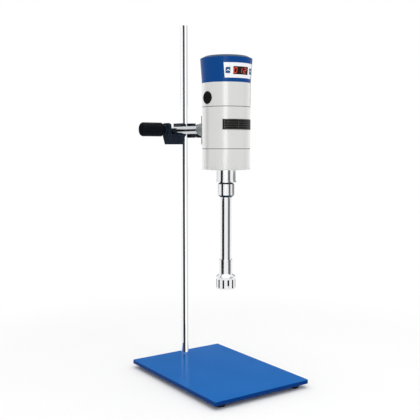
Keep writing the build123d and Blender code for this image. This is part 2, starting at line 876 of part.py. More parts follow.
def cable_gland():
    seat = body_radius - gland_spotface
    inner = sqrt(bore_radius ** 2 - gland_flange_radius ** 2)
    gland = bar_x(gland_radius, -seat, -inner + gland_nut_thickness + end_spare)
    hexagon = Plane.YZ.offset(-seat - gland_flange_length) * RegularPolygon(gland_flange_radius, 6)
    gland += extrude(hexagon, gland_flange_length)
    gland += bar_x(gland_flange_radius, -inner, -inner + gland_nut_thickness)
    gland -= bar_x(gland_bore, -seat - gland_flange_length - over, 0)
    return on_motor(Pos(0, 0, gland_z) * gland)


# motor
def bearing(low):
    return on_motor(pipe(bearing_radius, shaft_radius + run_gap, low, low + bearing_width))


def bearing_plate(low, bearing_low):
    plate = disc(bore_radius - fit_gap, low, low + bearing_plate_thickness)
    top = low + bearing_plate_thickness
    plate -= pipe(bore_radius, bearing_radius + bearing_wall, low + bearing_web, top)
    plate -= disc(bearing_radius + fit_gap, bearing_low, top)
    plate -= disc(shaft_passage, low - over, bearing_low)
    half = air_window_width / 2
    window = block(air_window_inner, air_window_outer, -half, half, low - over, top)
    for cut in around(window, air_windows, 180.0 / air_windows):
        plate -= cut
    return plate


def lower_bearing_plate():
    low = lower_plate_z
    plate = bearing_plate(low, lower_bearing_z)
    plate += disc(bearing_radius, low - seal_width, low)
    plate -= disc(seal_radius + fit_gap, low - seal_width, low)
    plate -= disc(shaft_passage, low - over, lower_bearing_z)
    return on_motor(plate)


def upper_bearing_plate():
    low = upper_plate_z
    plate = bearing_plate(low, upper_bearing_z)
    post = disc(standoff_radius, low, speed_board_z, standoff_circle)
    for copy in around(post, standoffs):
        plate += copy
    return on_motor(plate)


def shaft_seal():
    low = lower_plate_z - seal_width
    return on_motor(pipe(seal_radius, shaft_radius + seat_gap, low, lower_plate_z))


def field_core():
    top = stack_z + stack_length
    core = pipe(bore_radius - fit_gap, bore_radius - core_ring, stack_z, top)
    reach = bore_radius - core_ring + over
    core += block(-reach, reach, -pole_width / 2, pole_width / 2, stack_z, top)
    return on_motor(core - disc(armature_radius + air_gap, stack_z - over, top + over))


def field_coils():
    outer = bore_radius - core_ring - fit_gap
    inner = outer - coil_depth
    half = pole_width / 2 + fit_gap
    top = stack_z + stack_length
    coil = block(inner, outer, -half - coil_width, half + coil_width, stack_z - coil_overhang,
                 top + coil_overhang)
    coil -= block(0, outer + over, -half, half, stack_z - fit_gap, top + fit_gap)
    coil &= disc(outer, stack_z - 2 * coil_overhang, top + 2 * coil_overhang)
    return on_motor(Compound(around(coil, 2)))


def motor_shaft():
    low = coupling_z + coupling_socket
    return on_motor(disc(shaft_radius, low, upper_bearing_z + bearing_width + shaft_end))


def armature_core():
    core = pipe(armature_radius, shaft_radius, stack_z, stack_z + stack_length)
    slot = block(armature_radius - armature_slot_depth, armature_radius + over, -armature_slot_width / 2,
                 armature_slot_width / 2, stack_z - over, stack_z + stack_length + over)
    for cut in around(slot, armature_slots):
        core -= cut
    return on_motor(core)


def armature_windings():
    """The end turns, which stand out of both ends of the stack."""
    end = winding_length
    turns = turned((shaft_radius, 0), (winding_radius, 0), (winding_radius, end - winding_round),
                   (winding_radius - winding_round, end), (shaft_radius, end))
    upper = Pos(0, 0, stack_z + stack_length) * turns
    lower = Pos(0, 0, stack_z) * Rot(180, 0, 0) * turns
    return on_motor(Compound([upper, lower]))


def commutator():
    low = brush_z - commutator_length / 2
    drum = pipe(commutator_radius, shaft_radius, low, low + commutator_length)
    drum += pipe(commutator_radius + riser_height, shaft_radius, low - riser_length, low)
    half = commutator_groove / 2
    bottom = commutator_radius - commutator_groove_depth
    groove = block(bottom, commutator_radius + riser_height + over, -half, half,
                   low - riser_length - over, low + commutator_length + over)
    for cut in around(groove, armature_slots):
        drum -= cut
    return on_motor(drum)


def fan():
    top = fan_z + fan_height
    wheel = pipe(fan_radius, shaft_radius, fan_z, fan_z + fan_disc)
    wheel += pipe(fan_hub_radius, shaft_radius, fan_z, top)
    blade = block(fan_blade_inner, fan_blade_outer, -fan_blade_thickness / 2, fan_blade_thickness / 2,
                  fan_z + fan_disc, top)
    for copy in around(blade, fan_blades):
        wheel += copy
    return on_motor(wheel)


# spindle nose and coupling
def spindle_nose():
    nose = disc(nose_lip_radius, nose_z, nose_z + nose_lip_length)
    nose += disc(nose_radius, nose_z + nose_lip_length, lower_z)
    nose += disc(nose_neck_radius, lower_z, lower_z + nose_neck_length)
    nose -= disc(nose_bore, nose_z + shank_length, lower_z + nose_neck_length)
    nose -= disc(shank_radius + run_gap, nose_z - over, nose_z + shank_length)
    return on_motor(nose)


def nose_nut():
    low = lower_z + floor_thickness
    nut = extrude(Pos(0, 0, low) * RegularPolygon(nose_nut_radius, 6), nose_nut_height)
    return on_motor(nut - disc(nose_neck_radius + fit_gap, low - over, low + nose_nut_height + over))


def tang(gap, low, high):
    half = tang_width / 2 + gap
    return block(-half, half, -half, half, low, high)


def drive_coupling():
    sleeve = disc(coupling_radius, coupling_z, coupling_z + coupling_length)
    sleeve -= disc(shaft_radius, coupling_z + coupling_socket, coupling_z + coupling_length)
    return on_motor(sleeve - tang(run_gap, coupling_z, coupling_z + coupling_socket))


# dispersing tool
def lock_collar():
    collar = turned((0, lock_bottom), (lock_radius - lock_bottom_run, lock_bottom),
                    (lock_radius, lock_bottom + lock_bottom_rise),
                    (lock_radius, lock_z - lock_top_rise), (lock_radius - lock_top_run, lock_z),
                    (shank_radius, lock_z), (shank_radius, nose_z + shank_length - lock_gap),
                    (0, nose_z + shank_length - lock_gap))
    collar -= disc(tube_radius + fit_gap, lock_bottom - over, lock_bottom + tube_grip_top)
    return on_motor(collar - disc(bush_radius + fit_gap, lock_bottom, nose_z + shank_length + over))


def stator_tube():
    return on_motor(pipe(tube_radius, tube_radius - tube_wall, bush_seat_z, lock_bottom + tube_grip_top))


def stator_head():
    cone_bottom = cone_z - cone_length
    head = turned((0, stator_z), (stator_radius, stator_z), (stator_radius, cone_bottom),
                  (sleeve_radius, cone_z), (sleeve_radius, tube_bottom), (0, tube_bottom))
    head -= disc(tube_radius + fit_gap, bush_seat_z, tube_bottom + over)
    head -= disc(bush_radius + fit_gap, cone_bottom - over, tube_bottom)
    head -= disc(stator_radius - stator_wall, stator_z - over, cone_bottom)
    slot = block(0, stator_radius + over, -stator_slot_width / 2, stator_slot_width / 2, stator_z - over,
                 stator_z + stator_slot_length)
    for cut in around(slot, stator_slots, stator_slot_turn):
        head -= cut
    return on_motor(head)


def shaft_bushes():
    bush = pipe(bush_radius, shaft_radius + run_gap, 0, bush_length)
    places = (cone_z - cone_length, nose_z + upper_bush_rise)
    return on_motor(Compound([Pos(0, 0, low) * bush for low in places]))


def rotor_shaft():
    shoulder = coupling_z + fit_gap - tang_shoulder
    shaft = disc(shaft_radius, rotor_top - rotor_hub_length / 2, shoulder)
    return on_motor(shaft + tang(0, shoulder, coupling_z + tang_length))


def rotor():
    radius = stator_radius - stator_wall - rotor_gap
    crown = disc(radius, rotor_top - rotor_crown, rotor_top)
    teeth = pipe(radius, radius - rotor_wall, rotor_z, rotor_top - rotor_crown)
    gap = block(0, radius + over, -rotor_tooth_gap / 2, rotor_tooth_gap / 2, rotor_z - over,
                rotor_top - rotor_crown)
    for cut in around(gap, rotor_teeth, 180.0 / rotor_teeth):
        teeth -= cut
    hub = disc(rotor_hub_radius, rotor_top - rotor_hub_length, rotor_top - rotor_crown)
    whole = crown + teeth + hub
    return on_motor(whole - disc(shaft_radius, rotor_top - rotor_hub_length / 2, rotor_top + over))


arm_clamp_screw, arm_clamp_knob = arm_clamp()
rod_clamp_screw, rod_clamp_knob = rod_clamp()

pieces = {
    "base_plate": base_plate(),
    "rubber_feet": rubber_feet(),
    "foot_screws": foot_screws(),
    "stand_rod": stand_rod(),
    "rod_base_screw": rod_base_screw(),
    "bosshead": bosshead(),
    "arm_clamp_screw": arm_clamp_screw,
    "arm_clamp_knob": arm_clamp_knob,
    "rod_clamp_screw": rod_clamp_screw,
    "rod_clamp_knob": rod_clamp_knob,
    "support_arm": support_arm(),
    "arm_boss": arm_boss(),
    "boss_set_screw": boss_set_screw(),
    "rear_bracket": rear_bracket(),
    "bracket_screws": bracket_screws(),
    "lower_housing": lower_housing(),
    "middle_housing": middle_housing(),
    "upper_housing": upper_housing(),
    "top_cap": top_cap(),
    "cap_screws": cap_screws(),
    "seam_seals": seam_seals(),
    "control_panel": control_panel(),
    "display_window": display_window(),
    "up_button": push_button(-1),
    "down_button": push_button(1),
    "display_board": display_board(),
    "display_module": display_module(),
    "speed_board": speed_board(),
    "nameplate": nameplate(),
    "brush_caps": brush_caps(),
    "brush_holders": brush_holders(),
    "brushes": brushes(),
    "brush_springs": brush_springs(),
    "cable_gland": cable_gland(),
    "lower_bearing": bearing(lower_bearing_z),
    "upper_bearing": bearing(upper_bearing_z),
    "lower_bearing_plate": lower_bearing_plate(),
    "upper_bearing_plate": upper_bearing_plate(),
    "shaft_seal": shaft_seal(),
    "field_core": field_core(),
    "field_coils": field_coils(),
    "motor_shaft": motor_shaft(),
    "armature_core": armature_core(),
    "armature_windings": armature_windings(),
    "commutator": commutator(),
    "fan": fan(),
    "spindle_nose": spindle_nose(),
    "nose_nut": nose_nut(),
    "drive_coupling": drive_coupling(),
    "lock_collar": lock_collar(),
    "stator_tube": stator_tube(),
    "stator_head": stator_head(),
    "shaft_bushes": shaft_bushes(),
    "rotor_shaft": rotor_shaft(),
    "rotor": rotor(),
}

for name, piece in pieces.items():
    export_step(piece, f"parts/{name}.step")
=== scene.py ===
import json
from math import cos, radians, sin

import bmesh
import bpy
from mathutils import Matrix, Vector


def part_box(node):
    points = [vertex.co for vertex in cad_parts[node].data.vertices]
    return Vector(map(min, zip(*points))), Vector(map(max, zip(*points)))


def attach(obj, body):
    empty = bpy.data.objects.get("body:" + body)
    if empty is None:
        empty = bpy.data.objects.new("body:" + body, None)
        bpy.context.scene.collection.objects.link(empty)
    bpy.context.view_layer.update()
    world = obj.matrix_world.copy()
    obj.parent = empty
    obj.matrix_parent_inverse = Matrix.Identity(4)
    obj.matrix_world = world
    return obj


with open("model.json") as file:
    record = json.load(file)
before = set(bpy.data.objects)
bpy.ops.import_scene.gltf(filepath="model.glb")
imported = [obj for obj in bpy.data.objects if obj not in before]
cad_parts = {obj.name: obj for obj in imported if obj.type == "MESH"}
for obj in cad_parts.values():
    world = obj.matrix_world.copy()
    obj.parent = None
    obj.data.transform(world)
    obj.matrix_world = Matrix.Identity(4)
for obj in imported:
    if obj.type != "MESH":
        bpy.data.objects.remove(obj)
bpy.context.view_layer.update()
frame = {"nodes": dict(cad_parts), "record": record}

nodes = frame["nodes"]
mm = 0.001


def boxMiddle(name):
    low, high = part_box(name)
    return (low + high) / 2


def srgb(red, green, blue):  # display values from 0 to 255, as a linear colour
    parts = [c / 255 for c in (red, green, blue)]
    return tuple(c / 12.92 if c < 0.04 else ((c + 0.055) / 1.055) ** 2.4 for c in parts) + (1.0,)


# places that the frame gives
rodAxis = boxMiddle("stand_rod")
toolAxis = boxMiddle("stator_tube")
armAxis = boxMiddle("support_arm")


# camera, floor and light
cameraValues = {"place": (1.0519, -0.7332, 0.4256), "pitchDown": 5.12, "heading": 55.68, "lens": 60.79,
                "sensor": 36.0, "farEnd": 50}
acrossView = Vector((cos(radians(cameraValues["heading"])), sin(radians(cameraValues["heading"])), 0))
toCamera = Vector((acrossView.y, -acrossView.x, 0))


def link(thing):
    bpy.context.scene.collection.objects.link(thing)
    return thing


def makeCamera(values):
    data = bpy.data.cameras.new("benchCamera")
    data.lens = values["lens"]
    data.sensor_width = values["sensor"]
    data.sensor_fit = "HORIZONTAL"
    data.clip_end = values["farEnd"]
    camera = link(bpy.data.objects.new("benchCamera", data))
    camera.location = values["place"]
    camera.rotation_euler = (radians(90 - values["pitchDown"]), 0, radians(values["heading"]))
    bpy.context.scene.camera = camera


def newMaterial(name):
    material = bpy.data.materials.new(name)
    material.use_nodes = True
    tree = material.node_tree
    tree.nodes.clear()
    return material, tree, tree.nodes.new("ShaderNodeOutputMaterial")


def meshPiece(name, build, material):  # build fills a bmesh with flat faces
    shape = bmesh.new()
    build(shape)
    bmesh.ops.recalc_face_normals(shape, faces=shape.faces)
    data = bpy.data.meshes.new(name)
    shape.to_mesh(data)
    shape.free()
    data.materials.append(material)
    return link(bpy.data.objects.new(name, data))


def rectangle(middle, across, upward):
    def build(shape):
        corners = [middle + across * i + upward * j for i, j in ((-1, -1), (1, -1), (1, 1), (-1, 1))]
        shape.faces.new([shape.verts.new(c) for c in corners])
    return build


floorValues = {"halfSize": 6.0, "colour": (0.93, 0.93, 0.93, 1), "rough": 0.9,
               "fadeStart": 0.35, "fadeEnd": 0.8}


def makeFloor(values):
    material, tree, out = newMaterial("paleFloor")
    paint = tree.nodes.new("ShaderNodeBsdfPrincipled")
    paint.inputs["Base Color"].default_value = values["colour"]
    paint.inputs["Roughness"].default_value = values["rough"]
    paint.inputs["Specular IOR Level"].default_value = 0.0
    glow = tree.nodes.new("ShaderNodeEmission")
    glow.inputs["Strength"].default_value = 1.0
    place = tree.nodes.new("ShaderNodeTexCoord")
    reach = tree.nodes.new("ShaderNodeVectorMath")
    reach.operation = "LENGTH"
    fade = tree.nodes.new("ShaderNodeMapRange")
    fade.interpolation_type = "SMOOTHSTEP"
    fade.inputs["From Min"].default_value = values["fadeStart"]
    fade.inputs["From Max"].default_value = values["fadeEnd"]
    mix = tree.nodes.new("ShaderNodeMixShader")
    tree.links.new(place.outputs["Object"], reach.inputs[0])
    tree.links.new(reach.outputs["Value"], fade.inputs["Value"])
    tree.links.new(fade.outputs["Result"], mix.inputs[0])
    tree.links.new(paint.outputs[0], mix.inputs[1])
    tree.links.new(glow.outputs[0], mix.inputs[2])
    tree.links.new(mix.outputs[0], out.inputs["Surface"])
    half = values["halfSize"]
    shape = rectangle(Vector((0, 0, 0)), Vector((half, 0, 0)), Vector((0, half, 0)))
    meshPiece("paleFloor", shape, material)


worldValues = {"diffuse": 0.74, "background": 1.0}


def makeWorld(values):
    world = bpy.data.worlds.new("paleRoom")
    bpy.context.scene.world = world
    world.use_nodes = True
    tree = world.node_tree
    tree.nodes.clear()
    path = tree.nodes.new("ShaderNodeLightPath")
    seen = tree.nodes.new("ShaderNodeMath")
    seen.operation = "MAXIMUM"
    through = tree.nodes.new("ShaderNodeMath")
    through.operation = "MAXIMUM"
    tree.links.new(path.outputs["Is Camera Ray"], seen.inputs[0])
    tree.links.new(path.outputs["Is Glossy Ray"], seen.inputs[1])
    tree.links.new(seen.outputs[0], through.inputs[0])
    tree.links.new(path.outputs["Is Transmission Ray"], through.inputs[1])
    level = tree.nodes.new("ShaderNodeMapRange")
    level.inputs["To Min"].default_value = values["diffuse"]
    level.inputs["To Max"].default_value = values["background"]
    tree.links.new(through.outputs[0], level.inputs["Value"])
    light = tree.nodes.new("ShaderNodeBackground")
    light.inputs["Color"].default_value = (1, 1, 1, 1)
    tree.links.new(level.outputs["Result"], light.inputs["Strength"])
    out = tree.nodes.new("ShaderNodeOutputWorld")
    tree.links.new(light.outputs[0], out.inputs["Surface"])


lampAimHeight = 0.4
lampValues = {
    "overheadSoft": {"turn": 0, "rise": 90, "distance": 1.5, "size": (1.7, 1.7), "power": 13},
    "softFront": {"turn": 38, "rise": 40, "distance": 1.9, "size": (0.9, 0.9), "power": 3},
    "stripFront": {"turn": -6, "rise": 14, "distance": 1.7, "size": (0.16, 1.1), "power": 2.0},
}


def turnedFlat(turn):  # a level direction, turned from the camera's side
    return toCamera * cos(radians(turn)) + acrossView * sin(radians(turn))


def makeLamps(lamps):
    target = Vector((toolAxis.x, toolAxis.y, lampAimHeight))
    for name, values in lamps.items():
        data = bpy.data.lights.new(name, "AREA")
        data.shape = "RECTANGLE"
        data.size, data.size_y = values["size"]
        data.energy = values["power"]
        lamp = link(bpy.data.objects.new(name, data))
        rise = radians(values["rise"])
        aim = turnedFlat(values["turn"]) * cos(rise) + Vector((0, 0, sin(rise)))
        lamp.location = target + aim * values["distance"]
        lamp.rotation_euler = (-aim).to_track_quat("-Z", "Y").to_euler()


cardValues = {
    "darkHighCard": {"axis": rodAxis, "turn": 1, "distance": 0.025, "width": 0.029,
                     "low": 0.464, "high": 0.75, "level": 0.03},
    "darkLowCard": {"axis": rodAxis, "turn": -14.5, "distance": 0.025, "width": 0.027,
                    "low": 0.0165, "high": 0.447, "level": 0.03},
    "paleRodCard": {"axis": rodAxis, "turn": 40, "distance": 0.025, "width": 0.0185,
                    "low": 0.0165, "high": 0.75, "level": 1.25},
    "greyRodCard": {"axis": rodAxis, "turn": 86, "distance": 0.025, "width": 0.036,
                    "low": 0.0165, "high": 0.75, "level": 0.76},
    "lowRodCard": {"axis": rodAxis, "turn": -97, "distance": 0.025, "width": 0.038,
                   "low": 0.3, "high": 0.44, "level": 1.08},
    "highRodCard": {"axis": rodAxis, "turn": -97, "distance": 0.025, "width": 0.038,
                    "low": 0.464, "high": 0.75, "level": 1.08},
    "darkTubeCard": {"axis": toolAxis, "turn": -62, "distance": 0.15, "width": 0.15,
                     "low": 0.178, "high": 0.328, "level": 0.02},
    "darkCollarCard": {"axis": toolAxis, "turn": -53, "distance": 0.15, "width": 0.074,
                       "low": 0.328, "high": 0.3575, "level": 0.0},
    "darkNoseCard": {"axis": toolAxis, "turn": -52, "distance": 0.15, "width": 0.078,
                     "low": 0.3575, "high": 0.388, "level": 0.0},
    "greyToolCard": {"axis": toolAxis, "turn": 62, "distance": 0.14, "width": 0.13,
                     "low": 0.178, "high": 0.329, "level": 0.16},
    "greyCollarCard": {"axis": toolAxis, "turn": 47, "distance": 0.14, "width": 0.07,
                       "low": 0.329, "high": 0.358, "level": 0.16},
    "greyNoseCard": {"axis": toolAxis, "turn": 34, "distance": 0.14, "width": 0.068,
                     "low": 0.358, "high": 0.388, "level": 0.14},
    "edgeNoseCard": {"axis": toolAxis, "turn": 130, "distance": 0.3, "width": 0.5,
                     "low": 0.3175, "high": 0.376, "level": 0.3},
    "whiteBodyCard": {"axis": toolAxis, "turn": -100, "distance": 0.06, "width": 0.045,
                      "low": 0.386, "high": 0.64, "level": 1.1},
    "whiteNoseCard": {"axis": toolAxis, "turn": -100, "distance": 0.06, "width": 0.06,
                      "low": 0.333, "high": 0.3855, "level": 0.95},
    "darkArmCard": {"axis": armAxis, "turn": -111, "distance": 0.35, "width": 0.5,
                    "low": 0.31, "high": 0.53, "level": 0.04},
    "stripBodyCard": {"axis": toolAxis, "turn": -4.5, "distance": 1.0, "width": 0.36,
                      "low": 0.36, "high": 0.9, "level": 3.6},
    "farCard": {"axis": rodAxis, "turn": 180, "distance": 3.0, "width": 3.6,
                "low": 0.68, "high": 2.4, "levels": (0.08, 1.0)},
}


def makeCards(cards):  # seen only in shiny surfaces, and only from the side that faces the axis
    for name, values in cards.items():
        flat = turnedFlat(values["turn"])
        side = Vector((-flat.y, flat.x, 0))
        middle = Vector((values["axis"].x, values["axis"].y, (values["low"] + values["high"]) / 2))
        middle += flat * values["distance"]
        material, tree, out = newMaterial(name)
        glow = tree.nodes.new("ShaderNodeEmission")
        clear = tree.nodes.new("ShaderNodeBsdfTransparent")
        facing = tree.nodes.new("ShaderNodeNewGeometry")
        place = tree.nodes.new("ShaderNodeTexCoord")
        parts = tree.nodes.new("ShaderNodeSeparateXYZ")
        level = tree.nodes.new("ShaderNodeMapRange")
        mix = tree.nodes.new("ShaderNodeMixShader")
        levels = values["levels"] if "levels" in values else (values["level"], values["level"])
        level.inputs["To Min"].default_value, level.inputs["To Max"].default_value = levels
        tree.links.new(place.outputs["Generated"], parts.inputs[0])
        tree.links.new(parts.outputs["Z"], level.inputs["Value"])
        tree.links.new(level.outputs["Result"], glow.inputs["Color"])
        tree.links.new(facing.outputs["Backfacing"], mix.inputs[0])
        tree.links.new(glow.outputs[0], mix.inputs[1])
        tree.links.new(clear.outputs[0], mix.inputs[2])
        tree.links.new(mix.outputs[0], out.inputs["Surface"])
        upward = Vector((0, 0, (values["high"] - values["low"]) / 2))
        card = meshPiece(name, rectangle(middle, side * values["width"] / 2, upward), material)
        if card.data.polygons[0].normal.dot(flat) > 0:
            card.data.flip_normals()
        for ray in ("camera", "diffuse", "transmission", "shadow", "volume_scatter"):
            setattr(card, "visible_" + ray, False)


print("stage: camera, floor and light")
makeCamera(cameraValues)
makeFloor(floorValues)
makeWorld(worldValues)
makeLamps(lampValues)
makeCards(cardValues)
bpy.context.scene.view_settings.view_transform = "Standard"


# shader node groups that several finishes share
def newGroup(name, inputs, outputs):
    group = bpy.data.node_groups.new(name, "ShaderNodeTree")
    for label, kind, value in inputs:
        socket = group.interface.new_socket(name=label, in_out="INPUT", socket_type=kind)
        socket.default_value = value
    for label, kind in outputs:
        group.interface.new_socket(name=label, in_out="OUTPUT", socket_type=kind)
    return group, group.nodes.new("NodeGroupInput"), group.nodes.new("NodeGroupOutput")


def mathNode(tree, operation, first, second=None, clamp=False):
    node = tree.nodes.new("ShaderNodeMath")
    node.operation = operation
    node.use_clamp = clamp
    for socket, value in zip(node.inputs, (first, second)):
        if value is None:
            continue
        if isinstance(value, (int, float)):
            socket.default_value = value
        else:
            tree.links.new(value, socket)
    return node.outputs[0]


grainDetail = {"fine": 3.0, "slow": 4.0}


def makeGrainGroup():  # noise for fine bumps and for slow changes of shine
    group, given, out = newGroup(
        "surfaceGrain",
        [("Fine Scale", "NodeSocketFloat", 900.0), ("Slow Scale", "NodeSocketFloat", 14.0),
         ("Stretch", "NodeSocketVector", (1.0, 1.0, 1.0))],
        [("Height", "NodeSocketFloat"), ("Cloud", "NodeSocketFloat")])
    place = group.nodes.new("ShaderNodeTexCoord")
    stretch = group.nodes.new("ShaderNodeVectorMath")
    stretch.operation = "MULTIPLY"
    group.links.new(place.outputs["Object"], stretch.inputs[0])
    group.links.new(given.outputs["Stretch"], stretch.inputs[1])
    fine = group.nodes.new("ShaderNodeTexNoise")
    fine.inputs["Detail"].default_value = grainDetail["fine"]
    slow = group.nodes.new("ShaderNodeTexNoise")
    slow.inputs["Detail"].default_value = grainDetail["slow"]
    group.links.new(stretch.outputs[0], fine.inputs["Vector"])
    group.links.new(place.outputs["Object"], slow.inputs["Vector"])
    group.links.new(given.outputs["Fine Scale"], fine.inputs["Scale"])
    group.links.new(given.outputs["Slow Scale"], slow.inputs["Scale"])
    group.links.new(fine.outputs["Fac"], out.inputs["Height"])
    group.links.new(slow.outputs["Fac"], out.inputs["Cloud"])
    return group


def makeEdgeGroup():  # a broken mask along edges, where handling rubs a finish
    group, given, out = newGroup(
        "edgeRub",
        [("Radius", "NodeSocketFloat", 0.0008), ("Amount", "NodeSocketFloat", 4.0),
         ("Break Scale", "NodeSocketFloat", 260.0)],
        [("Mask", "NodeSocketFloat")])
    rounded = group.nodes.new("ShaderNodeBevel")
    rounded.samples = 4
    flat = group.nodes.new("ShaderNodeNewGeometry")
    compare = group.nodes.new("ShaderNodeVectorMath")
    compare.operation = "DOT_PRODUCT"
    place = group.nodes.new("ShaderNodeTexCoord")
    breaks = group.nodes.new("ShaderNodeTexNoise")
    group.links.new(given.outputs["Radius"], rounded.inputs["Radius"])
    group.links.new(rounded.outputs["Normal"], compare.inputs[0])
    group.links.new(flat.outputs["Normal"], compare.inputs[1])
    group.links.new(place.outputs["Object"], breaks.inputs["Vector"])
    group.links.new(given.outputs["Break Scale"], breaks.inputs["Scale"])
    edge = mathNode(group, "SUBTRACT", 1.0, compare.outputs["Value"])
    strong = mathNode(group, "MULTIPLY", edge, given.outputs["Amount"])
    patchy = mathNode(group, "MULTIPLY", strong, breaks.outputs["Fac"], clamp=True)
    group.links.new(patchy, out.inputs["Mask"])
    return group


def makeBoreGroup():  # a mask of an upright piece's hollow lower end, from shares of its radius and height, where painted shade darkens the inside of the bore
    group, given, out = newGroup(
        "boreShade", [("Radius Share", "NodeSocketFloat", 0.8), ("Height Share", "NodeSocketFloat", 0.4)],
        [("Mask", "NodeSocketFloat")])
    place = group.nodes.new("ShaderNodeTexCoord")
    shift = group.nodes.new("ShaderNodeVectorMath")
    shift.operation = "SUBTRACT"
    shift.inputs[1].default_value = (0.5, 0.5, 0.0)
    flatten = group.nodes.new("ShaderNodeVectorMath")
    flatten.operation = "MULTIPLY"
    flatten.inputs[1].default_value = (2.0, 2.0, 0.0)
    reach = group.nodes.new("ShaderNodeVectorMath")
    reach.operation = "LENGTH"
    group.links.new(place.outputs["Generated"], shift.inputs[0])
    group.links.new(shift.outputs[0], flatten.inputs[0])
    group.links.new(flatten.outputs[0], reach.inputs[0])
    parts = group.nodes.new("ShaderNodeSeparateXYZ")
    group.links.new(place.outputs["Generated"], parts.inputs[0])
    near = mathNode(group, "LESS_THAN", reach.outputs["Value"], given.outputs["Radius Share"])
    below = mathNode(group, "LESS_THAN", parts.outputs["Z"], given.outputs["Height Share"])
    group.links.new(mathNode(group, "MULTIPLY", near, below), out.inputs["Mask"])
    return group


grainGroup = makeGrainGroup()
edgeGroup = makeEdgeGroup()
boreGroup = makeBoreGroup()


def useGroup(tree, group, values):
    node = tree.nodes.new("ShaderNodeGroup")
    node.node_tree = group
    for label, value in values.items():
        node.inputs[label].default_value = value
    return node


mixSockets = {"factor": 0, "first": 6, "second": 7, "result": 2}  # a mix node's places for colours


def blendColour(tree, factor, first, second, mode="MIX"):
    node = tree.nodes.new("ShaderNodeMix")
    node.data_type, node.blend_type = "RGBA", mode
    for label, value in (("factor", factor), ("first", first), ("second", second)):
        socket = node.inputs[mixSockets[label]]
        if isinstance(value, (tuple, float, int)):
            socket.default_value = value
        else:
            tree.links.new(value, socket)
    return node.outputs[mixSockets["result"]]


cloudSpan = (0.3, 0.7)  # where the slow noise has nearly all its values


def toRange(tree, value, low, high):
    node = tree.nodes.new("ShaderNodeMapRange")
    node.inputs["From Min"].default_value, node.inputs["From Max"].default_value = cloudSpan
    node.inputs["To Min"].default_value = low
    node.inputs["To Max"].default_value = high
    tree.links.new(value, node.inputs["Value"])
    return node.outputs["Result"]


def shade(colour, factor):
    return tuple(c * factor for c in colour[:3]) + (1.0,)


plainFinish = {"drift": 0.04, "metal": 0.0, "specular": 0.5, "coat": 0.0, "coatRough": 0.08, "bump": 0.1,
               "bumpDepth": 0.05 * mm, "stretch": (1.0, 1.0, 1.0)}
shadeTiltLimits = {"paintedSideTone": 0.3, "paintedUnderShade": -0.3}  # the normal's height under which a face takes the other colour; the two colours are lit and shaded copies of one finish, painted light and shade by tilt


def makeFinish(name, values):  # colour drift, painted shade by face tilt, painted sheen and shade by facing, painted shade in a bore, rubbed edges, changing shine and a fine bump
    values = {**plainFinish, **values}
    material, tree, out = newMaterial(name)
    surface = tree.nodes.new("ShaderNodeBsdfPrincipled")
    grain = useGroup(tree, grainGroup, {"Fine Scale": values["grainScale"],
                                        "Stretch": values["stretch"]})
    colour, drift = values["colour"], values["drift"]
    base = blendColour(tree, toRange(tree, grain.outputs["Cloud"], 0.0, 1.0),
                       shade(colour, 1 - drift), shade(colour, 1 + drift))
    # painted shade: faces below a tilt take another colour, standing in for how light falls on tops, sides
    # and undersides
    for key, limit in shadeTiltLimits.items():
        if key in values:
            facing = tree.nodes.new("ShaderNodeNewGeometry")
            parts = tree.nodes.new("ShaderNodeSeparateXYZ")
            tree.links.new(facing.outputs["Normal"], parts.inputs[0])
            lower = mathNode(tree, "LESS_THAN", parts.outputs["Z"], limit)
            base = blendColour(tree, lower, base, values[key])
    # painted sheen and shade by facing: a ramp on the view-facing weight lightens the rims and darkens bands
    # inside them, standing in for reflections
    if "paintedFacingSheen" in values:
        facing = tree.nodes.new("ShaderNodeLayerWeight")
        facing.inputs["Blend"].default_value = 0.5
        ramp = tree.nodes.new("ShaderNodeValToRGB")
        stops = values["paintedFacingSheen"]
        while len(ramp.color_ramp.elements) < len(stops):
            ramp.color_ramp.elements.new(0.5)
        for element, (place, level) in zip(ramp.color_ramp.elements, stops):
            element.position, element.color = place, (level, level, level, 1)
        tree.links.new(facing.outputs["Facing"], ramp.inputs["Fac"])
        base = blendColour(tree, 1.0, base, ramp.outputs["Color"], "MULTIPLY")
    # painted shade: the hollow lower end is painted dark where shade falls inside the bore
    if "bore" in values:
        radius, height, boreShadeColour = values["bore"]
        bore = useGroup(tree, boreGroup, {"Radius Share": radius, "Height Share": height})
        base = blendColour(tree, bore.outputs["Mask"], base, boreShadeColour)
    if "rub" in values:
        edge = useGroup(tree, edgeGroup, {"Amount": values["rub"][0]})
        base = blendColour(tree, edge.outputs["Mask"], base, values["rub"][1])
    tree.links.new(base, surface.inputs["Base Color"])
    low, high = values["rough"]
    tree.links.new(toRange(tree, grain.outputs["Cloud"], low, high), surface.inputs["Roughness"])
    for socket, key in (("Metallic", "metal"), ("Specular IOR Level", "specular"), ("Coat Weight", "coat"),
                        ("Coat Roughness", "coatRough")):
        surface.inputs[socket].default_value = values[key]
    bump = tree.nodes.new("ShaderNodeBump")
    bump.inputs["Strength"].default_value = values["bump"]
    bump.inputs["Distance"].default_value = values["bumpDepth"]
    tree.links.new(grain.outputs["Height"], bump.inputs["Height"])
    tree.links.new(bump.outputs["Normal"], surface.inputs["Normal"])
    tree.links.new(surface.outputs[0], out.inputs["Surface"])
    return material


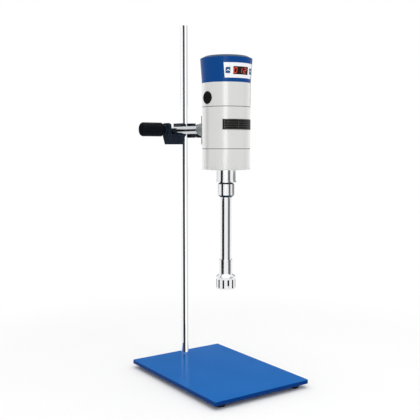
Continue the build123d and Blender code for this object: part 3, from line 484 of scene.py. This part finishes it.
finishValues = {
    # blue_enamel's side colour is painted shade: the plate's upright faces are painted a darker blue than its
    # top
    "blue_enamel": {
        "colour": srgb(0, 100, 180), "paintedSideTone": srgb(0, 54, 122), "specular": 0.045, "rough": (0.18, 0.24),
        "grainScale": 420, "bump": 0.1, "drift": 0.03, "rub": (2.0, srgb(70, 120, 190))},
    "foot_rubber": {
        "colour": srgb(18, 18, 19), "specular": 0.2, "rough": (0.6, 0.8), "grainScale": 1500, "bump": 0.35},
    "zinc_steel": {
        "colour": srgb(185, 186, 190), "metal": 1.0, "rough": (0.22, 0.4), "grainScale": 1800, "bump": 0.15},
    "polished_rod": {
        "colour": srgb(244, 245, 247), "metal": 1.0, "rough": (0.06, 0.1), "grainScale": 900,
        "stretch": (0.01, 0.01, 3.0), "bump": 0.03, "drift": 0.015},
    "clamp_casting": {
        "colour": srgb(20, 30, 42), "specular": 0.1, "rough": (0.38, 0.55), "grainScale": 800, "bump": 0.5,
        "bumpDepth": 0.2 * mm, "drift": 0.12, "rub": (3.0, srgb(70, 84, 98))},
    "knob_plastic": {
        "colour": srgb(10, 15, 20), "specular": 0.04, "rough": (0.34, 0.5), "grainScale": 1400, "bump": 0.3,
        "drift": 0.1, "rub": (2.0, srgb(52, 60, 68))},
    "grey_aluminium": {
        "colour": srgb(122, 127, 127), "metal": 0.25, "rough": (0.4, 0.55), "grainScale": 1200, "bump": 0.2,
        "drift": 0.05},
    # white_enamel's facing ramp is painted sheen at the rims and painted shade in bands inside them
    "white_enamel": {
        "colour": srgb(225, 226, 224), "rough": (0.3, 0.38), "grainScale": 700, "bump": 0.12, "drift": 0.012,
        "paintedFacingSheen": ((0.0, 0.85), (0.24, 0.85), (0.37, 0.81), (0.48, 0.85), (0.62, 0.95), (0.75, 1.0)),
        "coat": 1.0, "coatRough": 0.1},
    # blue_plastic's own colour, on upward faces, is painted shade on the cap's crown; its side colour is the
    # plain blue
    "blue_plastic": {
        "colour": srgb(20, 52, 82), "paintedSideTone": srgb(0, 66, 134), "specular": 0.04, "rough": (0.26, 0.36),
        "grainScale": 1100, "bump": 0.16, "drift": 0.04, "coat": 0.1, "coatRough": 0.1},
    "white_panel": {
        "colour": srgb(238, 240, 243), "rough": (0.3, 0.42), "grainScale": 1500, "bump": 0.08, "drift": 0.01},
    "smoked_window": {
        "colour": srgb(22, 8, 8), "specular": 0.15, "rough": (0.06, 0.12), "grainScale": 500, "bump": 0.02,
        "drift": 0.1},
    "button_plastic": {
        "colour": srgb(10, 74, 116), "specular": 0.2, "rough": (0.35, 0.45), "grainScale": 1500, "bump": 0.1},
    "circuit_board": {"colour": srgb(22, 92, 58), "rough": (0.35, 0.5), "grainScale": 900, "bump": 0.3},
    "black_plastic": {
        "colour": srgb(14, 15, 15), "specular": 0.04, "rough": (0.4, 0.55), "grainScale": 1500, "bump": 0.3},
    "black_label": {
        "colour": srgb(12, 12, 12), "specular": 0.12, "rough": (0.35, 0.45), "grainScale": 1400, "bump": 0.1},
    "brass": {
        "colour": srgb(205, 172, 98), "metal": 1.0, "rough": (0.25, 0.4), "grainScale": 1200, "bump": 0.1},
    "carbon": {"colour": srgb(34, 34, 36), "rough": (0.5, 0.7), "grainScale": 1800, "bump": 0.4},
    "bearing_steel": {
        "colour": srgb(205, 206, 210), "metal": 1.0, "rough": (0.14, 0.24), "grainScale": 1500,
        "stretch": (0.4, 0.4, 5.0), "bump": 0.08},
    "core_steel": {
        "colour": srgb(120, 120, 124), "metal": 1.0, "rough": (0.4, 0.6), "grainScale": 2200,
        "stretch": (0.1, 0.1, 3.0), "bump": 0.6},
    "copper_winding": {
        "colour": srgb(196, 106, 56), "metal": 0.9, "rough": (0.3, 0.45), "grainScale": 1600, "bump": 0.6},
    # polished_tool's underside colour is painted shade on faces that look downward
    "polished_tool": {
        "colour": srgb(236, 238, 240), "metal": 1.0, "rough": (0.08, 0.14), "grainScale": 900,
        "stretch": (0.01, 0.01, 2.0), "bump": 0.03, "drift": 0.02, "paintedUnderShade": srgb(70, 72, 76)},
    # the stator head's finish carries painted shade inside its bore
    "bored_tool": {
        "colour": srgb(236, 238, 240), "metal": 1.0, "rough": (0.08, 0.14), "grainScale": 900,
        "stretch": (0.01, 0.01, 2.0), "bump": 0.05, "drift": 0.02, "bore": (0.84, 0.45, srgb(34, 34, 36))},
    "brushed_arm": {
        "colour": srgb(200, 203, 206), "metal": 1.0, "rough": (0.06, 0.1), "grainScale": 900,
        "stretch": (0.01, 3.0, 3.0), "bump": 0.05, "drift": 0.015},
    "shaded_rotor": {
        "colour": srgb(46, 46, 48), "metal": 1.0, "rough": (0.3, 0.45), "grainScale": 1400, "bump": 0.1},
    "bush_polymer": {"colour": srgb(222, 220, 212), "rough": (0.4, 0.55), "grainScale": 1300, "bump": 0.2},
}
finishOfNode = {"stator_head": "bored_tool", "rotor": "shaded_rotor", "support_arm": "brushed_arm"}

print("stage: finishes")
finishes = {name: makeFinish(name, values) for name, values in finishValues.items()}
slotOfNode = {part["node"]: part["material_slot"] for part in frame["record"]["subparts"]}
for nodeName, thing in nodes.items():
    thing.data.materials.clear()
    thing.data.materials.append(finishes[finishOfNode.get(nodeName, slotOfNode[nodeName])])


# printing on the curved faces, as thin raised ink
inkValues = {"lift": 0.05 * mm, "step": 1.2 * mm}


# strokes are ((y, z), (y, z), width) about a middle, laid on the face that looks along X
def inkOn(name, nodeName, strokes, middle, material):
    lift = inkValues["lift"]
    target = nodes[nodeName]

    def onFace(y, z, raise_):
        hit, place, normal, _ = target.ray_cast(Vector((1, y, z)), Vector((-1, 0, 0)))
        return place + normal * raise_ if hit else None

    def build(shape):
        for start, end, width in strokes:
            start, end = Vector(start) * mm + middle, Vector(end) * mm + middle
            along = end - start
            beside = Vector((-along.y, along.x)).normalized() * width * mm / 2
            count = max(1, round(along.length / inkValues["step"]))
            rows = []
            for i in range(count + 1):
                spot = start + along * i / count
                corners = [(spot + beside * j, raise_) for j, raise_ in
                           ((-1, lift), (1, lift), (1, -lift), (-1, -lift))]
                rows.append([shape.verts.new(onFace(c.x, c.y, r)) for c, r in corners])
            for first, second in zip(rows, rows[1:]):
                for i in range(4):
                    j = (i + 1) % 4
                    shape.faces.new((first[i], first[j], second[j], second[i]))
            shape.faces.new(rows[0][::-1])
            shape.faces.new(rows[-1])
    return meshPiece(name, build, material)


def flatMiddle(nodeName):
    middle = boxMiddle(nodeName)
    return Vector((middle.y, middle.z))


digitValues = {"shown": "012", "height": 7.8, "width": 4.8, "pitch": 9.2, "lean": 0.1, "stroke": 1.05,
               "trim": 0.35, "shift": -1.9, "colour": srgb(255, 76, 48), "unlit": srgb(60, 8, 6),
               "dimmest": 0.9, "rough": 0.4, "fineScale": 1500.0, "slowScale": 160.0}


def digitStrokes(values):
    w, h = values["width"] / 2, values["height"] / 2
    ends = {"a": ((-w, h), (w, h)), "b": ((w, h), (w, 0)), "c": ((w, 0), (w, -h)), "d": ((-w, -h), (w, -h)),
            "e": ((-w, 0), (-w, -h)), "f": ((-w, h), (-w, 0)), "g": ((-w, 0), (w, 0))}
    lit = {"0": "abcdef", "1": "bc", "2": "abged", "3": "abgcd", "4": "fgbc", "5": "afgcd", "6": "afgedc",
           "7": "abc", "8": "abcdefg", "9": "abcdfg"}  # the segments that each digit lights
    strokes = []
    for place, digit in enumerate(values["shown"]):
        across = (place - (len(values["shown"]) - 1) / 2) * values["pitch"] + values["shift"]
        for segment in lit[digit]:
            (y0, z0), (y1, z1) = ends[segment]
            trim = values["trim"] * values["stroke"] / max(abs(y1 - y0), abs(z1 - z0))
            start = Vector((y0 + (y1 - y0) * trim, z0 + (z1 - z0) * trim))
            end = Vector((y1 - (y1 - y0) * trim, z1 - (z1 - z0) * trim))
            strokes.append(tuple((c.x + across + values["lean"] * c.y, c.y) for c in (start, end))
                           + (values["stroke"],))
    return strokes


def makeDigits(values):
    material, tree, out = newMaterial("litSegment")
    surface = tree.nodes.new("ShaderNodeBsdfPrincipled")
    grain = useGroup(tree, grainGroup, {"Fine Scale": values["fineScale"],
                                        "Slow Scale": values["slowScale"]})
    lit = blendColour(tree, toRange(tree, grain.outputs["Cloud"], 0.0, 1.0),
                      shade(values["colour"], values["dimmest"]), values["colour"])
    surface.inputs["Base Color"].default_value = values["unlit"]
    surface.inputs["Roughness"].default_value = values["rough"]
    surface.inputs["Emission Strength"].default_value = 1.0
    tree.links.new(lit, surface.inputs["Emission Color"])
    tree.links.new(surface.outputs[0], out.inputs["Surface"])
    middle = flatMiddle("display_window")
    digits = inkOn("displayDigits", "display_window", digitStrokes(values), middle, material)
    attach(digits, "head")


chevronValues = {"width": 4.2, "rise": 2.2, "stroke": 1.0, "finish": {
    "colour": srgb(238, 242, 246), "rough": (0.4, 0.5), "grainScale": 1500, "bump": 0.05}}


def makeChevrons(values):
    material = makeFinish("buttonMark", values["finish"])
    w, h = values["width"] / 2, values["rise"] / 2
    for nodeName, body, way in (("up_button", "up_key", 1), ("down_button", "down_key", -1)):
        low, top = -h * way, h * way
        strokes = [((-w, low), (0, top), values["stroke"]), ((0, top), (w, low), values["stroke"])]
        mark = inkOn(body + "Mark", nodeName, strokes, flatMiddle(nodeName), material)
        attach(mark, body)


ruleValues = {"margin": 1.2, "widthShare": 0.96, "stroke": 0.22, "rows": 4, "columnSplit": 0.42, "finish": {
    "colour": srgb(110, 110, 108), "rough": (0.4, 0.5), "grainScale": 1500, "bump": 0.05}}


def makePlateRules(values):  # plain rules, with nothing written between them
    low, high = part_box("nameplate")
    w, h = ((high - low) / 2 / mm).yz
    w, h = w * values["widthShare"] - values["margin"], h - values["margin"]
    stroke = values["stroke"]
    strokes = [((-w, -h + 2 * h * i / values["rows"]), (w, -h + 2 * h * i / values["rows"]), stroke)
               for i in range(values["rows"] + 1)]
    strokes += [((y, -h), (y, h), stroke) for y in (-w, -w + 2 * w * values["columnSplit"], w)]
    rules = inkOn("nameplateRules", "nameplate", strokes, flatMiddle("nameplate"),
                  makeFinish("plateRule", values["finish"]))
    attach(rules, "head")


print("stage: digits, marks and rules")
makeDigits(digitValues)
makeChevrons(chevronValues)
makePlateRules(ruleValues)
